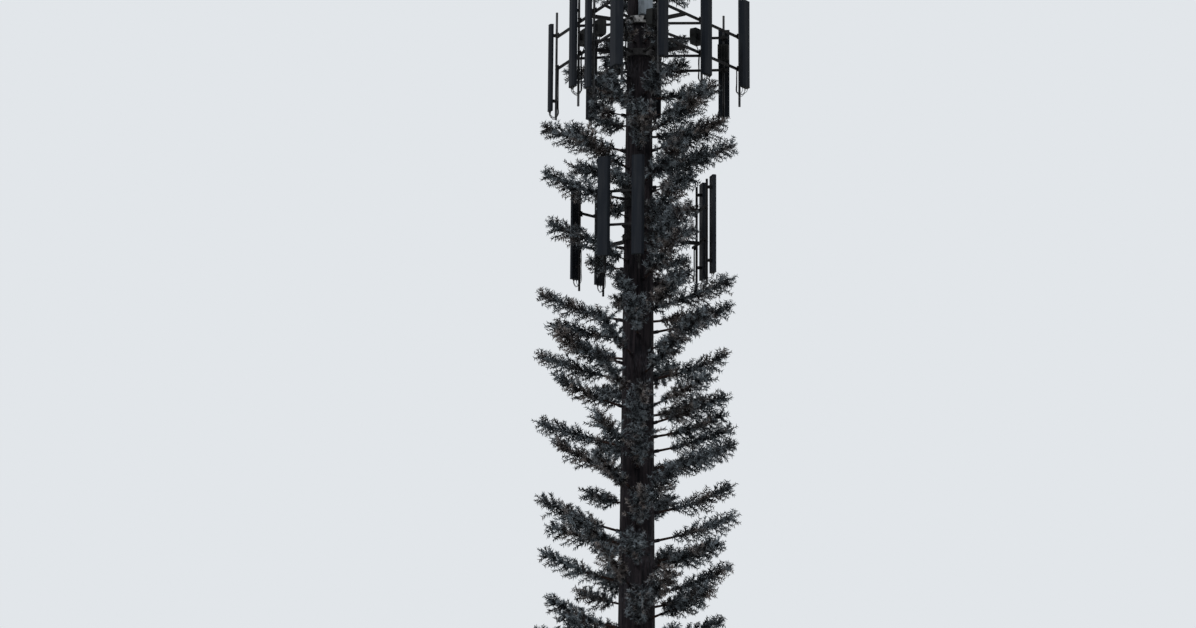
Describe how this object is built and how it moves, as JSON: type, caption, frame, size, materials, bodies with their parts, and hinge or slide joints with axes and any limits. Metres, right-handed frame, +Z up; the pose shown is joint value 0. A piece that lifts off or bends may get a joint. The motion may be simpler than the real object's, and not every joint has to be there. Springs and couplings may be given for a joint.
{
  "type": "cell tower disguised as a pine tree",
  "caption": "Tall tapered steel monopole dressed as a pine: needled branches on stub sockets, panel antennas on two triangular frames, and a bolted base plate.",
  "frame": {"origin": "centre of the underside of the base plate, on the pole's axis, at ground level", "axes": "+Z up the pole; -Y towards the viewer of the picture; +X to that viewer's right"},
  "size_m": [5.7626, 5.702, 30.196],
  "materials": {
    "galvanised_steel": "weathered galvanised",
    "bark_paint": "matt dark brown, textured like bark",
    "needle_foliage": "matt dark green needles on brown limbs",
    "antenna_paint": "matt dark green-brown",
    "mount_paint": "matt dark paint over galvanising",
    "radio_housing": "matt dark paint",
    "light_grey_box": "light grey, weathered"
  },
  "bodies": {
    "root": {"base_plate": "galvanised_steel", "branches_tier_01": "needle_foliage", "branches_tier_02": "needle_foliage", "branches_tier_03": "needle_foliage", "branches_tier_04": "needle_foliage", "branches_tier_05": "needle_foliage", "branches_tier_06": "needle_foliage", "branches_tier_07": "needle_foliage", "branches_tier_08": "needle_foliage", "branches_tier_09": "needle_foliage", "branches_tier_10": "needle_foliage", "junction_box": "light_grey_box", "lower_antenna_brackets": "mount_paint", "lower_arms": "mount_paint", "lower_branch_sockets": "bark_paint", "lower_clamp_plates": "mount_paint", "lower_collars": "mount_paint", "lower_front_antennas": "antenna_paint", "lower_pipes": "mount_paint", "lower_pole": "bark_paint", "lower_rails": "mount_paint", "lower_rear_antennas": "antenna_paint", "lower_right_antennas": "antenna_paint", "middle_branch_sockets": "bark_paint", "middle_pole": "bark_paint", "pole_cap": "bark_paint", "port_rims": "bark_paint", "radio_brackets": "mount_paint", "top_antenna_brackets": "mount_paint", "top_arms": "mount_paint", "top_braces": "mount_paint", "top_clamp_plates": "mount_paint", "top_collars": "galvanised_steel", "top_left_antennas": "antenna_paint", "top_pipes": "mount_paint", "top_radios": "radio_housing", "top_rails": "mount_paint", "top_rear_antennas": "antenna_paint", "top_right_antennas": "antenna_paint", "treetop_branch_sockets": "bark_paint", "treetop_branches": "needle_foliage", "treetop_mast": "bark_paint", "upper_branch_sockets": "bark_paint", "upper_pole": "bark_paint"}
  },
  "joints": []
}
